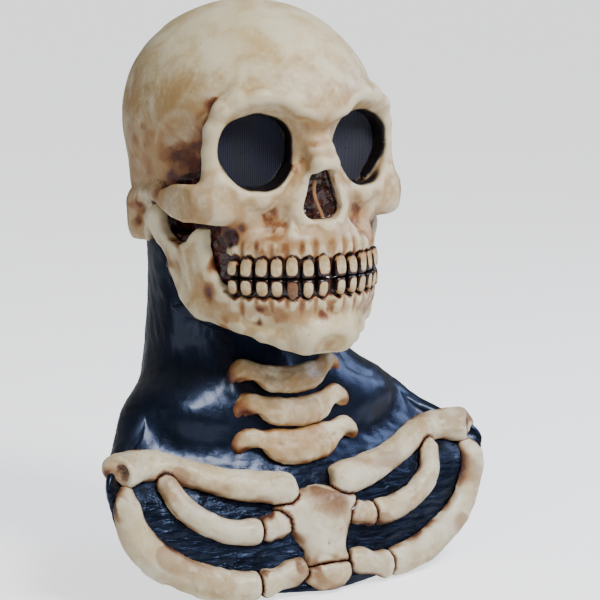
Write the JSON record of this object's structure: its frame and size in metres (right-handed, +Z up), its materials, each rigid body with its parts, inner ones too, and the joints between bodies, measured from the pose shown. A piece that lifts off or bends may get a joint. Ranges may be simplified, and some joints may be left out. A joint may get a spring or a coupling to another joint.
{
  "type": "latex halloween mask",
  "caption": "Over-the-head latex skull mask with a moving jaw, mesh-screened eye holes and a black neck and bib that carry sculpted neck bones, collar bones and ribs.",
  "frame": {"origin": "the spot on the underside of the crown pad that rests on the top of the wearer's head", "axes": "+Z up out of the crown, -Y the way the face looks, +X towards the wearer's left"},
  "size_m": [0.3422, 0.2482, 0.449],
  "materials": {
    "bone_latex": "ivory cast latex, antiqued with a brown wash, satin",
    "rib_latex": "pale ivory foam-filled latex, brown wash in the joints, satin",
    "black_latex": "black cast latex with a glossy clear coat",
    "recess_latex": "dark red-brown glossy latex",
    "tooth_latex": "yellowed cream latex, brown outlines, glossy",
    "eye_mesh": "dark navy knitted mesh",
    "cement": "cured rubber cement, amber, glossy",
    "foam": "open-cell charcoal foam"
  },
  "bodies": {
    "mask": {"skull_skin": "bone_latex", "neck_bib_skin": "black_latex", "throat_membrane": "black_latex", "cheek_membrane_left": "recess_latex", "cheek_membrane_right": "recess_latex", "upper_teeth": "tooth_latex", "upper_gum": "recess_latex", "eye_screen_left": "eye_mesh", "eye_screen_right": "eye_mesh", "eye_bond_left": "cement", "eye_bond_right": "cement", "nose_lining": "recess_latex", "nose_septum": "bone_latex", "crown_pad": "foam", "brow_pad": "foam", "nape_pad": "foam", "vertebra_upper": "rib_latex", "vertebra_middle": "rib_latex", "vertebra_lower": "rib_latex", "collar_bone_left": "rib_latex", "collar_bone_right": "rib_latex", "breastbone": "rib_latex", "breastbone_tip": "rib_latex", "first_rib_left": "rib_latex", "first_rib_right": "rib_latex", "first_cartilage_left": "rib_latex", "first_cartilage_right": "rib_latex", "second_rib_left": "rib_latex", "second_rib_right": "rib_latex", "second_cartilage_left": "rib_latex", "second_cartilage_right": "rib_latex"},
    "jaw": {"jaw_skin": "bone_latex", "lower_teeth": "tooth_latex", "lower_gum": "recess_latex", "chin_cup": "foam"}
  },
  "joints": [
    {"name": "jaw_open", "type": "hinge", "parent": "mask", "child": "jaw", "pos_m": [0, -0.004, -0.151], "axis": [1, 0, 0], "range_deg": [0, 6], "stiffness_Nm_per_rad": 0.6, "springref_deg": -11.46, "deforming": ["throat_membrane", "cheek_membrane_left", "cheek_membrane_right"]}
  ]
}
